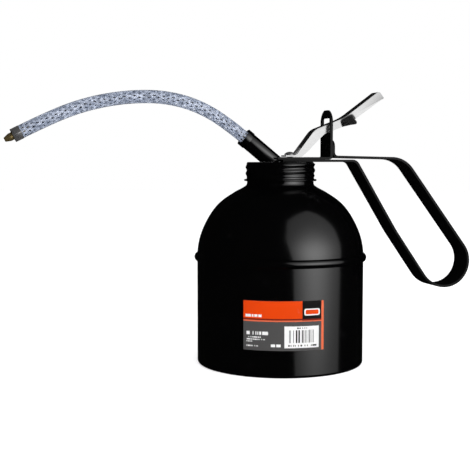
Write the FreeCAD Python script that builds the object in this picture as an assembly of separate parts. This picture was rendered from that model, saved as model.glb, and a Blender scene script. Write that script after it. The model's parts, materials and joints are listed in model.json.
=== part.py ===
import FreeCAD
import Part
import math
import os

V = FreeCAD.Vector
UP = V(0, 0, 1)
ACROSS = V(0, 1, 0)
ALONG = V(1, 0, 0)

# Pump oil can. Millimetres, +Z up. The origin is the centre of the can's underside, the handle
# lies along +X and the spout along -X, so XZ is the plane of symmetry of the pump head.

# ---- clearances -------------------------------------------------------------------------------
seat_gap = 0.02       # between pieces that are fixed to each other
run_gap = 0.05        # between a shaft or piston and its bore, on the radius
free_gap = 0.3        # between pieces that move past each other
skin_gap = 0.04       # under the bead and the label on the can

# ---- can --------------------------------------------------------------------------------------
can_r = 45.0
can_wall = 0.6
cup_h = 57.6          # drawn cup, from the floor to the seam
base_corner_r = 1.4
base_panel_r = 33.0   # flat middle of the underside, inside the stiffening groove
groove_w = 5.5
groove_h = 0.9
lap_h = 5.6           # how far the dome reaches down inside the cup
bead_h = 4.4          # rolled bead over the seam
bead_out = 1.55
dome_arc_r = 37.1
dome_slope = 32.0     # degrees, of the cone between the dome's arc and the neck
neck_show_h = 2.8     # plain neck between the cone and the thread
neck_thread_h = 7.8
neck_step = 0.8       # the thread is this much smaller in radius than the plain neck
neck_wall = 0.8

# ---- label ------------------------------------------------------------------------------------
label_w = 42.0        # along the curve
label_h = 25.0
label_low = 14.35     # above the floor
label_t = 0.15
label_azimuth = -106.5

# ---- pump, hung from the cap ------------------------------------------------------------------
rod_x = 5.4           # axis of the rod and barrel, from the can's axis
rod_r = 1.6
rod_head_r = 3.0
rod_head_h = 1.75
barrel_bore_r = 7.0
barrel_wall = 1.0
barrel_l = 50.0
block_rim = 0.5       # material of the pump block outside the barrel
block_h = 9.9
socket_h = 4.0        # the barrel goes this far up into the block
block_roof_h = 3.2    # material above the pump chamber
port_r = 0.5          # passage from the pump chamber to the outlet ball
port_down = 0.6       # its axis below the chamber's roof
port_side = 0.7       # its drop, beside the outlet chamber
entry_gap = 2.5       # between the pump block and the inside of the neck
gland_r = 3.0
gland_h = 1.8
gasket_t = 1.7
gasket_w = 2.7

piston_h = 5.0
piston_slack = 0.25   # the metal piston is this much smaller than the bore, on the radius
cup_seal_h = 3.2
cup_seal_lip = 1.3
piston_nut_r = 3.1
piston_nut_h = 2.0
piston_rest = 5.5     # from the foot valve to the piston nut, with the lever up

return_wire_r = 0.5
return_coil_r = 4.2
return_turns = 8

foot_h = 9.0          # foot valve below the barrel
foot_spigot_h = 4.0
suction_socket_h = 4.0
inlet_seat_h = 5.2    # from the underside of the foot valve to the ball's seat
ball_r = 2.4
ball_lift = 1.5
ball_side_gap = 0.6
seat_bore_r = 1.7
cage_pin_r = 0.6
suction_r = 3.2
suction_bore_r = 2.2
suction_floor_gap = 3.0
strainer_r = 4.2
strainer_h = 6.0

outlet_ball_r = 1.6
outlet_bore_r = 2.1
outlet_seat_r = 1.1
outlet_floor_h = 1.6  # material under the outlet's inlet bore
outlet_seat_h = 1.2
outlet_wall = 1.4     # between the barrel and the outlet chamber
outlet_wire_r = 0.16
outlet_turns = 4

# ---- screw cap --------------------------------------------------------------------------------
cap_wall = 0.7
cap_top_t = 0.8
cap_over_shoulder = 0.8   # gap between the neck's shoulder and the cap's lower edge
thread_slack = 0.4        # between the neck thread and the cap, on the radius
thread_pitch = 3.4
ridge_out = 0.35
cap_lip_out = 1.2
cap_lip_h = 1.1
cap_ridges = 2

# ---- handle strap and lever post, from sheet --------------------------------------------------
strap_w = 15.0
strap_t = 1.3
strap_end_x = -1.0
post_x = 26.75        # middle of the post's upright
post_t = 1.3
post_foot_x = -4.0    # forked end of the post's foot
post_h = 28.1         # above the cap
post_corner_r = 4.3
window_w = 10.8
window_top = 23.7     # above the cap
sill_h = 16.35        # above the cap: the lever rocks on this edge
upstand_h = 11.9      # top of the strap's upstand, above the cap
upstand_bend_h = 2.85
upstand_bend_r = 2.4
upstand_corner_r = 4.0
rivet_r = 1.5
rivet_y = 4.3
rivet_h = 7.4         # above the cap, through the post and the upstand
screw_r = 1.25
screw_head_r = 2.1
screw_x = 9.6
screw_y = 5.7
screw_depth = 2.0

# Handle strap's centre line as (x, height above the cap, bend radius), from the cap round the
# loop and back to the top of the upstand. The first and last bends are worked out below.
strap_loop = [
    (41.3, None, 4.0),
    (65.4, -38.4, 80.0),
    (88.0, -70.2, 16.0),
    (125.5, -70.2, 14.2),
    (70.4, 1.95, 15.4),
]

# ---- thumb lever ------------------------------------------------------------------------------
lever_w = 8.0
lever_t = 0.8
lever_press_deg = 25.0
fork_gap = 0.25       # between the fork and the post's foot, and between the fork and the rod head
fork_tip_x = 1.9
fork_open_x = 12.0    # the web starts here, behind the rod's head
fork_bend_x = 7.7
fork_bend_r = 2.5
fork_creep = 0.9      # the rod's head rides this much nearer the sill than the fork's far edge
heel_x = 11.0
heel_r = 2.0
# top line, as (x, height above the cap, bend radius), after the fork and before the turned end
lever_top = [
    (18.3, 17.4, 9.0),
    (35.5, 24.0, 30.0),
    (56.0, 38.9, 1.4),
]
lever_end = (59.0, 35.0)
lever_low = [
    (57.9, 34.5, 0.5),
    (41.5, 23.2, 0.8),
    (39.8, 20.4, 1.4),
    (36.6, 19.9, 2.0),
    (24.0, 15.2, 3.0),
    (20.6, 12.0, 5.0),
    (14.4, 5.8, 4.0),
]

# ---- spout ------------------------------------------------------------------------------------
spout_slope = 38.65   # degrees above horizontal
spout_x = -4.0        # where its axis meets the top of the cap
spout_l = 21.2        # from there to its mouth
spout_r = 4.6
spout_wall = 1.0
collar_r = 4.9
collar_l = 3.3
weld_r = 1.1
hose_r = 3.4
hose_bore_r = 2.2
hose_in = 4.4         # length of hose held inside the spout
insert_l = 6.0
insert_bore_r = 1.3

# Hose centre line from its held end to the nozzle, as (x, height above the cap).
hose_route = [
    (-30.0, 20.7),
    (-45.5, 29.4),
    (-63.0, 33.8),
    (-82.0, 33.6),
    (-101.0, 30.3),
    (-119.5, 23.9),
    (-136.9, 15.05),
]
run_share = 0.45      # of the shorter run beside each point, taken up by the arc there

nut_flats = 7.0
nut_l = 4.3
tip_r = 2.0
tip_l = 4.6
tip_bore_r = 0.6
tip_shank_r = 1.6

# ---- sizes that follow from the ones above ----------------------------------------------------
barrel_r = barrel_bore_r + barrel_wall
block_r = rod_x + barrel_r + block_rim
neck_bore_r = block_r + entry_gap
thread_r = neck_bore_r + neck_wall
neck_r = thread_r + neck_step
cap_bore_r = thread_r + thread_slack
cap_r = cap_bore_r + cap_wall

dome_z = cup_h + 0.4
dome_end = math.radians(90 - dome_slope)
cone_low_r = can_r - dome_arc_r + dome_arc_r * math.cos(dome_end)
cone_low_z = dome_z + dome_arc_r * math.sin(dome_end)
neck_z = cone_low_z + (cone_low_r - neck_r) * math.tan(math.radians(dome_slope))
shoulder_z = neck_z + neck_show_h
neck_top_z = shoulder_z + neck_thread_h
cap_low_z = shoulder_z + cap_over_shoulder
cap_under_z = neck_top_z + gasket_t + 2 * run_gap
cap_z = cap_under_z + cap_top_t       # top of the cap: the pump head is measured from here

block_top_z = cap_under_z - seat_gap
block_low_z = block_top_z - block_h
chamber_z = block_top_z - block_roof_h
barrel_top_z = block_low_z + socket_h
barrel_low_z = barrel_top_z - barrel_l
foot_low_z = barrel_low_z - foot_h
suction_low_z = can_wall + suction_floor_gap
nut_low_z = barrel_low_z + foot_spigot_h + piston_rest
piston_low_z = nut_low_z + piston_nut_h + seat_gap
seal_low_z = piston_low_z + piston_h + seat_gap
seal_top_z = seal_low_z + cup_seal_h

strap_z = cap_z + strap_t / 2
foot_z = cap_z + strap_t
fork_z = foot_z + post_t + fork_gap
fork_top_z = fork_z + lever_t
sill_z = cap_z + sill_h
head_low_z = fork_top_z + fork_gap * 0.6
upstand_x = post_x + (post_t + strap_t) / 2

outlet_x = rod_x - barrel_r - outlet_wall - outlet_bore_r
outlet_floor_z = block_low_z + outlet_floor_h
outlet_seat_z = outlet_floor_z + outlet_seat_h
outlet_ball_z = outlet_seat_z + math.sqrt(outlet_ball_r**2 - outlet_seat_r**2) + 0.02

spout_dir = V(-math.cos(math.radians(spout_slope)), 0, math.sin(math.radians(spout_slope)))
spout_foot = V(spout_x, 0, cap_z)

# The head of the rod rises with the fork's far edge, where that edge last touches it.
fork_reach = post_x - rod_x + math.sqrt(rod_head_r**2 - (rod_r + free_gap) ** 2)
lift_per_radian = fork_reach - fork_creep
rod_stroke = lift_per_radian * math.radians(lever_press_deg)

parts = {}


# ---- helpers ----------------------------------------------------------------------------------
def cylinder(r, z0, z1, x=0.0, y=0.0):
    return Part.makeCylinder(r, z1 - z0, V(x, y, z0), UP)


def tube(r_out, r_in, z0, z1, x=0.0):
    return cylinder(r_out, z0, z1, x).cut(cylinder(r_in, z0 - 1, z1 + 1, x))


def box(x0, x1, y0, y1, z0, z1):
    return Part.makeBox(x1 - x0, y1 - y0, z1 - z0, V(x0, y0, z0))


def in_xz(a, b):
    return V(a, 0, b)


def in_yz(a, b):
    return V(0, a, b)


def rounded_edges(corners, closed, place=in_xz):
    """Straight runs joined by tangent arcs. Each corner is (a, b, radius)."""
    points = [V(a, b, 0) for a, b, _ in corners]
    count = len(corners)
    cuts = []
    for i, (_, _, radius) in enumerate(corners):
        inner = closed or 0 < i < count - 1
        if not inner or radius <= 0:
            cuts.append((points[i], None, points[i]))
            continue
        back = (points[i - 1] - points[i]).normalize()
        ahead = (points[(i + 1) % count] - points[i]).normalize()
        half = back.getAngle(ahead) / 2
        reach = radius / math.tan(half)
        middle = points[i] + (back + ahead).normalize() * (radius / math.sin(half) - radius)
        cuts.append((points[i] + back * reach, middle, points[i] + ahead * reach))
    edges = []
    for i in range(count if closed else count - 1):
        start, middle, leave = cuts[i]
        if middle is not None:
            spots = [place(p.x, p.y) for p in (start, middle, leave)]
            edges.append(Part.Arc(*spots).toShape())
        arrive = cuts[(i + 1) % count][0]
        if (arrive - leave).Length > 1e-6:
            edges.append(Part.LineSegment(place(leave.x, leave.y), place(arrive.x, arrive.y)).toShape())
    return edges


def outline(corners, place=in_xz):
    return Part.Wire(rounded_edges(corners, True, place))


def turned(corners, x=0.0):
    """A solid turned about a vertical axis from a closed outline in the XZ plane."""
    face = Part.Face(outline(corners))
    solid = face.revolve(V(0, 0, 0), UP, 360)
    solid.translate(V(x, 0, 0))
    return solid


def sheet(corners, width):
    """A closed outline in the XZ plane, given a width across it."""
    face = Part.Face(outline(corners))
    face.translate(V(0, -width / 2, 0))
    return face.extrude(ACROSS * width)


def plate_seen_along_x(corners, x0, x1):
    face = Part.Face(outline(corners, in_yz))
    face.translate(V(x0, 0, 0))
    return face.extrude(V(x1 - x0, 0, 0))


def bent_strip(corners, left, right):
    """Corners of the outline of a strip that lies to the left and right of a bent line."""
    points = [V(a, b, 0) for a, b, _ in corners]
    runs = [(b - a).normalize() for a, b in zip(points, points[1:])]
    sides = []
    for offset in (left, -right):
        side = []
        for i, (_, _, radius) in enumerate(corners):
            before = runs[max(i - 1, 0)]
            after = runs[min(i, len(runs) - 1)]
            normal = (V(-before.y, before.x, 0) + V(-after.y, after.x, 0)).normalize()
            reach = offset / normal.dot(V(-after.y, after.x, 0))
            turn = before.cross(after).z
            bend = radius - offset if turn > 0 else radius + offset
            spot = points[i] + normal * reach
            side.append((spot.x, spot.y, max(bend, 0.0) if radius > 0 else 0.0))
        sides.append(side)
    return sides[0] + sides[1][::-1]


def along_spout(r, start, end):
    return Part.makeCylinder(r, end - start, spout_foot + spout_dir * start, spout_dir)


def coil(wire_r, coil_r, z0, z1, turns, x):
    """Compression spring with its wire between z0 and z1."""
    height = z1 - z0 - 2 * wire_r
    helix = Part.makeHelix(height / turns, height, coil_r)
    profile = Part.Wire(Part.makeCircle(wire_r, V(coil_r, 0, 0), ACROSS))
    solid = Part.Wire(helix).makePipeShell([profile], True, True)
    solid.translate(V(x, 0, z0 + wire_r))
    return solid


# ---- can --------------------------------------------------------------------------------------
def can_cup():
    g0 = base_panel_r
    g1 = base_panel_r + groove_w
    rise = groove_h
    inner = can_r - can_wall
    t = can_wall
    return turned([
        (0, 0, 0), (g0, 0, 0.8), (g0 + rise, rise, 0.8), (g1 - rise, rise, 0.8), (g1, 0, 0.8),
        (can_r, 0, base_corner_r), (can_r, cup_h, 0), (inner, cup_h, 0),
        (inner, t, base_corner_r - t), (g1 + t / 2, t, 0.4), (g1 - rise + t / 2, rise + t, 0.4),
        (g0 + rise - t / 2, rise + t, 0.4), (g0 - t / 2, t, 0.4), (0, t, 0),
    ])


def can_dome():
    """Dome, cone, neck and thread wall in one pressing, with a lap that goes down inside the cup."""
    t = can_wall
    arc_x = can_r - dome_arc_r
    lap_r = can_r - t - seat_gap
    low = cup_h + seat_gap
    foot = cup_h - lap_h
    half = dome_end / 2
    inner_r = dome_arc_r - t

    def spot(radius, angle):
        return V(arc_x + radius * math.cos(angle), 0, dome_z + radius * math.sin(angle))

    start = math.asin(1.6 / inner_r)
    inner_end = spot(inner_r, dome_end)
    run_in = (inner_end.x - neck_bore_r) * math.tan(math.radians(dome_slope))
    loop = [
        V(neck_bore_r, 0, inner_end.z + run_in),
        V(neck_bore_r, 0, neck_top_z),
        V(thread_r, 0, neck_top_z),
        V(thread_r, 0, shoulder_z + neck_step),
        V(neck_r, 0, shoulder_z),
        V(neck_r, 0, neck_z),
        spot(dome_arc_r, dome_end),
    ]
    edges = [Part.makeLine(a, b) for a, b in zip(loop, loop[1:])]
    outer_spots = [spot(dome_arc_r, angle) for angle in (dome_end, half, 0)]
    edges.append(Part.Arc(*outer_spots).toShape())
    skirt = [
        spot(dome_arc_r, 0), V(can_r, 0, low), V(lap_r, 0, low), V(lap_r, 0, foot),
        V(lap_r - t, 0, foot), V(lap_r - t, 0, low), spot(inner_r, start),
    ]
    edges += [Part.makeLine(a, b) for a, b in zip(skirt, skirt[1:])]
    middle = spot(inner_r, (start + dome_end) / 2)
    edges.append(Part.Arc(spot(inner_r, start), middle, inner_end).toShape())
    edges.append(Part.makeLine(inner_end, loop[0]))
    return Part.Face(Part.Wire(edges)).revolve(V(0, 0, 0), UP, 360)


def seam_bead():
    r = can_r + skin_gap
    low = V(r, 0, cup_h - bead_h / 2)
    high = V(r, 0, cup_h + bead_h / 2)
    arc = Part.Arc(low, V(can_r + bead_out, 0, cup_h), high).toShape()
    return Part.Face(Part.Wire([arc, Part.makeLine(high, low)])).revolve(V(0, 0, 0), UP, 360)


def label():
    low = label_low
    ring = tube(can_r + skin_gap + label_t, can_r + skin_gap, low, low + label_h)
    half = label_w / (2 * can_r)
    far = 2 * can_r
    middle = math.radians(label_azimuth)
    spots = [V(0, 0, low - 1)]
    for angle in (middle - half, middle + half):
        spots.append(V(far * math.cos(angle), far * math.sin(angle), low - 1))
    wedge = Part.Face(Part.makePolygon(spots + spots[:1]))
    return ring.common(wedge.extrude(UP * (label_h + 2)))


# ---- screw cap and gasket ---------------------------------------------------------------------
def screw_cap():
    lip_r = cap_r + cap_lip_out
    ridge_half = thread_pitch * 0.3
    outer = [(cap_bore_r, cap_low_z, 0), (lip_r, cap_low_z, 0.4), (lip_r, cap_low_z + cap_lip_h, 0.4),
             (cap_r, cap_low_z + cap_lip_h + 0.5, 0)]
    for i in range(cap_ridges):
        z = cap_low_z + (i + 1) * thread_pitch
        outer += [(cap_r, z - ridge_half, 0), (cap_r + ridge_out, z, 0.6), (cap_r, z + ridge_half, 0)]
    outer += [(cap_r, cap_z, 1.0), (0, cap_z, 0), (0, cap_under_z, 0), (cap_bore_r, cap_under_z, 0.4)]
    shell = turned(outer)
    shell = shell.cut(along_spout(spout_r - spout_wall, -spout_r * 2, 8))
    shell = shell.cut(cylinder(rod_r + free_gap, cap_under_z - 1, cap_z + 1, rod_x))
    for y in (-screw_y, screw_y):
        shell = shell.cut(cylinder(screw_r + seat_gap, cap_under_z - 1, cap_z + 1, screw_x, y))
    return shell


def cap_gasket():
    r = cap_bore_r - free_gap
    low = neck_top_z + run_gap
    return tube(r, r - gasket_w, low, low + gasket_t)


# ---- pump -------------------------------------------------------------------------------------
def pump_block():
    """Round block under the cap, with the rod's bore, the barrel's socket and the outlet chamber."""
    solid = cylinder(block_r, block_low_z, block_top_z)
    solid = solid.cut(cylinder(barrel_r + seat_gap, block_low_z - 1, barrel_top_z + seat_gap, rod_x))
    solid = solid.cut(cylinder(barrel_bore_r, barrel_top_z, chamber_z, rod_x))
    solid = solid.cut(cylinder(rod_r + run_gap, chamber_z - 1, block_top_z + 1, rod_x))
    solid = solid.cut(cylinder(gland_r + seat_gap, block_top_z - gland_h, block_top_z + 1, rod_x))
    solid = solid.cut(cylinder(outlet_bore_r, outlet_seat_z, block_top_z + 1, outlet_x))
    solid = solid.cut(cylinder(outlet_seat_r, outlet_floor_z, outlet_seat_z + 1, outlet_x))
    high_z = chamber_z - port_down
    low_z = (outlet_floor_z + outlet_seat_z) / 2
    drop_x = outlet_x + outlet_bore_r + port_side
    solid = solid.cut(Part.makeCylinder(port_r, rod_x - drop_x, V(drop_x, 0, high_z), ALONG))
    solid = solid.cut(cylinder(port_r, low_z, high_z, drop_x))
    solid = solid.cut(Part.makeCylinder(port_r, drop_x - outlet_x, V(outlet_x, 0, low_z), ALONG))
    for y in (-screw_y, screw_y):
        solid = solid.cut(cylinder(screw_r + seat_gap, cap_under_z - screw_depth, cap_z, screw_x, y))
    return solid


def rod_gland():
    low = block_top_z - gland_h + seat_gap
    return tube(gland_r, rod_r + run_gap, low, block_top_z - seat_gap, rod_x)


def pump_barrel():
    return tube(barrel_r, barrel_bore_r, barrel_low_z, barrel_top_z, rod_x)


def foot_valve():
    """Plug in the barrel's lower end, with the inlet ball's chamber above its seat."""
    spigot_top = barrel_low_z + foot_spigot_h
    body = cylinder(barrel_r, foot_low_z, barrel_low_z - seat_gap, rod_x)
    body = body.fuse(cylinder(barrel_bore_r - seat_gap, barrel_low_z - 1, spigot_top, rod_x))
    body = body.cut(cylinder(ball_r + ball_side_gap, inlet_seat_z(), spigot_top + 1, rod_x))
    body = body.cut(cylinder(seat_bore_r, foot_low_z - 1, spigot_top, rod_x))
    body = body.cut(cylinder(suction_r + seat_gap, foot_low_z - 1, foot_low_z + suction_socket_h, rod_x))
    return body.cut(cage_pin_cylinder(cage_pin_r + seat_gap))


def inlet_seat_z():
    return foot_low_z + inlet_seat_h


def inlet_ball_z():
    return inlet_seat_z() + math.sqrt(ball_r**2 - seat_bore_r**2) + 0.02


def cage_pin_cylinder(r):
    z = inlet_ball_z() + ball_r + ball_lift + cage_pin_r + 0.1
    reach = barrel_bore_r - 4 * seat_gap
    return Part.makeCylinder(r, 2 * reach, V(rod_x, -reach, z), ACROSS)


def suction_tube():
    top = foot_low_z + suction_socket_h - seat_gap
    return tube(suction_r, suction_bore_r, suction_low_z + 1, top, rod_x)


def suction_strainer():
    """Capped sleeve with side holes on the end of the suction tube."""
    top = suction_low_z + strainer_h
    sleeve = cylinder(strainer_r, suction_low_z, top, rod_x)
    sleeve = sleeve.cut(cylinder(suction_r + seat_gap, suction_low_z + 1 - seat_gap, top + 1, rod_x))
    for i in range(6):
        spoke = V(math.cos(i * math.pi / 3), math.sin(i * math.pi / 3), 0)
        start = V(rod_x, 0, suction_low_z + 2.6)
        sleeve = sleeve.cut(Part.makeCylinder(0.5, strainer_r + 1, start, spoke))
    return sleeve


def piston_rod():
    """Rod with its domed head, down to the nut under the piston."""
    dome = Part.makeSphere(rod_head_r * 1.4)
    dome.translate(V(rod_x, 0, head_low_z + rod_head_h - rod_head_r * 1.4))
    head = cylinder(rod_head_r, head_low_z, head_low_z + rod_head_h, rod_x).common(dome)
    return head.fuse(cylinder(rod_r, nut_low_z - 0.6, head_low_z + 0.5, rod_x))


def piston():
    r = barrel_bore_r - piston_slack
    solid = cylinder(r, piston_low_z, piston_low_z + piston_h, rod_x)
    return solid.cut(cylinder(rod_r + seat_gap, piston_low_z - 1, piston_low_z + piston_h + 1, rod_x))


def cup_seal():
    r = barrel_bore_r - run_gap
    solid = tube(r, rod_r + seat_gap, seal_low_z, seal_top_z, rod_x)
    return solid.cut(tube(r - cup_seal_lip, rod_r + 1, seal_low_z + 1, seal_top_z + 1, rod_x))


def hexagon(radius_to_flat, centre, axis, length):
    points = []
    for i in range(7):
        a = math.radians(60 * i + 30)
        reach = radius_to_flat / math.cos(math.radians(30))
        points.append(V(reach * math.cos(a), reach * math.sin(a), 0))
    solid = Part.Face(Part.makePolygon(points)).extrude(UP * length)
    solid.Placement = FreeCAD.Placement(centre, FreeCAD.Rotation(UP, axis))
    return solid


def piston_nut():
    nut = hexagon(piston_nut_r, V(rod_x, 0, nut_low_z), UP, piston_nut_h)
    return nut.cut(cylinder(rod_r + seat_gap, nut_low_z - 1, nut_low_z + piston_nut_h + 1, rod_x))


def outlet_spring():
    return coil(outlet_wire_r, outlet_ball_r - 0.3, outlet_spring_low_z(), block_top_z - 0.1,
                outlet_turns, outlet_x)


def outlet_spring_low_z():
    return outlet_ball_z + outlet_ball_r + 0.1


def return_spring():
    return coil(return_wire_r, return_coil_r, seal_low_z + 1 + 0.1, chamber_z - 0.1, return_turns, rod_x)


# ---- handle strap, lever post and their fixings -----------------------------------------------
def rod_and_spout_cut(low, high):
    """Room for the rod and the leaning spout in a plate on the cap."""
    hole = cylinder(rod_r + free_gap, low - 1, high + 1, rod_x)
    return hole.fuse(along_spout(spout_r + weld_r + free_gap, -spout_r * 2, 12))


def countersunk(y, gap):
    """Shape of a flush screw through the plates and the cap into the pump block."""
    top = foot_z + post_t - 0.05
    head_h = screw_head_r - screw_r
    shank = cylinder(screw_r + gap, cap_under_z - screw_depth + 0.1, top, screw_x, y)
    cone = Part.makeCone(screw_r + gap, screw_head_r + gap, head_h, V(screw_x, y, top - head_h), UP)
    lid = cylinder(screw_head_r + gap, top, top + (1 if gap else 0.001), screw_x, y)
    return shank.fuse(cone).fuse(lid) if gap else shank.fuse(cone)


def rivet_holes_cut(solid):
    for y in (-rivet_y, rivet_y):
        solid = solid.cut(rivet_cylinder(y, rivet_r + seat_gap))
    return solid


def handle_strap():
    line = [(strap_end_x, strap_z, 0)]
    for x, height, radius in strap_loop:
        line.append((x, strap_z if height is None else cap_z + height, radius))
    line += [(upstand_x, cap_z + upstand_bend_h, upstand_bend_r), (upstand_x, cap_z + upstand_h, 0)]
    solid = sheet(bent_strip(line, strap_t / 2, strap_t / 2), strap_w)
    half = strap_w / 2
    top = cap_z + upstand_h
    keep = [(-half, top - 7, 0), (half, top - 7, 0), (half, top, upstand_corner_r),
            (-half, top, upstand_corner_r)]
    trim = box(upstand_x - 2, upstand_x + 2, -half - 1, half + 1, top - 6, top + 1)
    solid = solid.cut(trim.cut(plate_seen_along_x(keep, upstand_x - 3, upstand_x + 3)))
    solid = solid.cut(rod_and_spout_cut(cap_z, foot_z))
    for y in (-screw_y, screw_y):
        solid = solid.cut(cylinder(screw_r + seat_gap, cap_z - 1, foot_z + 0.5, screw_x, y))
    return rivet_holes_cut(solid)


def lever_post():
    foot_mid = foot_z + seat_gap + post_t / 2
    back_x = post_x - seat_gap
    line = [(post_foot_x, foot_mid, 0), (back_x, foot_mid, post_t), (back_x, cap_z + post_h, 0)]
    solid = sheet(bent_strip(line, post_t / 2, post_t / 2), strap_w)
    half = strap_w / 2
    top = cap_z + post_h
    face = [(-half, cap_z, 0), (half, cap_z, 0), (half, top, post_corner_r),
            (-half, top, post_corner_r)]
    solid = solid.common(plate_seen_along_x(face, post_foot_x - 1, post_x + 2))
    side = window_w / 2
    high = cap_z + window_top
    low = sill_z - post_t / 2
    window = [(-side, low, 0), (side, low, 0), (side, high, 1.0), (-side, high, 1.0)]
    solid = solid.cut(plate_seen_along_x(window, post_x - 2, post_x + 2))
    solid = solid.fuse(Part.makeCylinder(post_t / 2, window_w + 0.4, V(back_x, -side - 0.2, low), ACROSS))
    solid = solid.cut(rod_and_spout_cut(foot_z, foot_z + post_t))
    for y in (-screw_y, screw_y):
        solid = solid.cut(countersunk(y, seat_gap))
    return rivet_holes_cut(solid)


def rivet_cylinder(y, r):
    low = post_x - post_t / 2 - seat_gap + 0.05
    high = upstand_x + strap_t / 2 - 0.05
    if r > rivet_r:
        low -= 1
        high += 1
    return Part.makeCylinder(r, high - low, V(low, y, cap_z + rivet_h), V(1, 0, 0))


# ---- thumb lever ------------------------------------------------------------------------------
def thumb_lever():
    """Inverted channel that rocks on the post's sill, with a fork under the head of the rod."""
    top = [(fork_bend_x, fork_top_z, fork_bend_r)]
    top += [(x, cap_z + height, radius) for x, height, radius in lever_top]
    end = (lever_end[0], cap_z + lever_end[1], 0)
    line = [(fork_tip_x, fork_top_z, 0)] + top + [end]
    web = sheet(bent_strip(line, 0, lever_t), lever_w)
    low = [(x, cap_z + height, radius) for x, height, radius in lever_low]
    heel = (heel_x, fork_z, heel_r)
    side = [(fork_tip_x, fork_z, 0), (fork_tip_x, fork_top_z, 0)] + top + [end] + low + [heel]
    flange = Part.Face(outline(side)).extrude(ACROSS * lever_t)
    near = flange.copy()
    near.translate(V(0, -lever_w / 2, 0))
    far = flange.copy()
    far.translate(V(0, lever_w / 2 - lever_t, 0))
    solid = web.fuse(near).fuse(far)
    inner = lever_w / 2 - lever_t
    slot = rod_r + free_gap
    solid = solid.cut(box(fork_tip_x - 1, fork_open_x, -inner, inner, fork_top_z, fork_top_z + 12))
    solid = solid.cut(box(fork_tip_x - 1, fork_open_x, -slot, slot, fork_z - 1, fork_top_z + 1))
    return solid.cut(sill_notch()).removeSplitter()


def sill_notch():
    """Room in the flanges for the sill, from the lever at rest to the lever fully pressed."""
    half = post_t / 2 + 2 * run_gap
    deep = 5.0
    turn = math.radians(lever_press_deg + 1)
    x, z = pivot()
    side = V(math.cos(turn), math.sin(turn), 0)
    down = V(math.sin(turn), -math.cos(turn), 0)
    middle = V(x, z, 0)
    turned_low = middle + side * half + down * deep
    spots = [V(x - half, z, 0), V(x - half, z - deep, 0), turned_low, middle + side * half]
    wedge = sheet([(p.x, p.y, 0) for p in spots], lever_w + 2)
    return wedge.fuse(Part.makeCylinder(half, lever_w + 2, V(x, -lever_w / 2 - 1, z), ACROSS))


def pivot():
    return post_x - seat_gap, sill_z - post_t / 2


# ---- spout, hose and nozzle -------------------------------------------------------------------
def spout_tube():
    """Tube cut off level, so that it stands on the cap over the outlet chamber."""
    outer = along_spout(spout_r, -spout_r * 2, spout_l)
    outer = outer.common(box(-can_r, can_r, -can_r, can_r, cap_z + seat_gap, cap_z + 2 * spout_l))
    return outer.cut(along_spout(spout_r - spout_wall, -spout_r * 3, spout_l + 1))


def spout_weld():
    """Brazed bead where the tube stands on the cap."""
    cone = Part.makeCone(spout_r + 3 * weld_r, spout_r + seat_gap, 5 * weld_r,
                         spout_foot - spout_dir * spout_r, spout_dir)
    bead = cone.common(box(-can_r, can_r, -can_r, can_r, cap_z + seat_gap, cap_z + weld_r))
    bead = bead.common(along_spout(spout_r + weld_r, -spout_r * 2, 12))
    return bead.cut(along_spout(spout_r + seat_gap, -spout_r * 3, spout_l)).cut(
        cylinder(rod_r + free_gap, cap_z - 1, cap_z + 5, rod_x))


def spout_collar():
    ring = along_spout(collar_r, spout_l - collar_l, spout_l + 0.3)
    return ring.cut(along_spout(spout_r + seat_gap, 0, spout_l + 1))


def hose_points():
    start = spout_foot + spout_dir * (spout_l - hose_in)
    return [start] + [V(x, 0, cap_z + height) for x, height in hose_route]


def hose_path():
    """Straight runs joined by tangent arcs, as one wire, with the radii of the arcs."""
    points = hose_points()
    corners = []
    radii = []
    for i, p in enumerate(points):
        radius = 0.0
        if 0 < i < len(points) - 1:
            before = p - points[i - 1]
            after = points[i + 1] - p
            half = before.getAngle(after) / 2
            radius = run_share * min(before.Length, after.Length) / math.tan(half)
            radii.append(radius)
        corners.append((p.x, p.z, radius))
    return Part.Wire(rounded_edges(corners, False)), radii


def hose():
    path, radii = hose_path()
    points = hose_points()
    ahead = (points[1] - points[0]).normalize()
    skins = []
    for r in (hose_r, hose_bore_r):
        ring = Part.Wire(Part.makeCircle(r, points[0], ahead))
        skins.append(path.makePipeShell([ring], True, False))
    solid = skins[0].cut(skins[1])
    area = math.pi * (hose_r**2 - hose_bore_r**2)
    print("hose radii", [round(r, 1) for r in radii])
    share = solid.Volume / (area * path.Length)
    print("hose length", round(path.Length, 2), "volume share", round(share, 5))
    return solid


def hose_end():
    points = hose_points()
    return points[-1], (points[-1] - points[-2]).normalize()


def insert_at(place, ahead, length_in, length_out):
    """Sleeve inside an end of the hose."""
    r = hose_bore_r - seat_gap
    body = Part.makeCylinder(r, length_in + length_out, place - ahead * length_in, ahead)
    return body.cut(Part.makeCylinder(insert_bore_r, 40, place - ahead * 20, ahead))


def spout_insert():
    start, second = hose_points()[:2]
    ahead = (second - start).normalize()
    return insert_at(start + ahead * insert_l, ahead, insert_l, 0.0)


def nozzle_insert():
    place, ahead = hose_end()
    return insert_at(place, ahead, insert_l, seat_gap)


def nozzle_nut():
    place, ahead = hose_end()
    start = place + ahead * (2 * seat_gap)
    nut = hexagon(nut_flats / 2, start, ahead, nut_l)
    return nut.cut(Part.makeCylinder(tip_shank_r + seat_gap, nut_l + 2, start - ahead, ahead))


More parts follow.
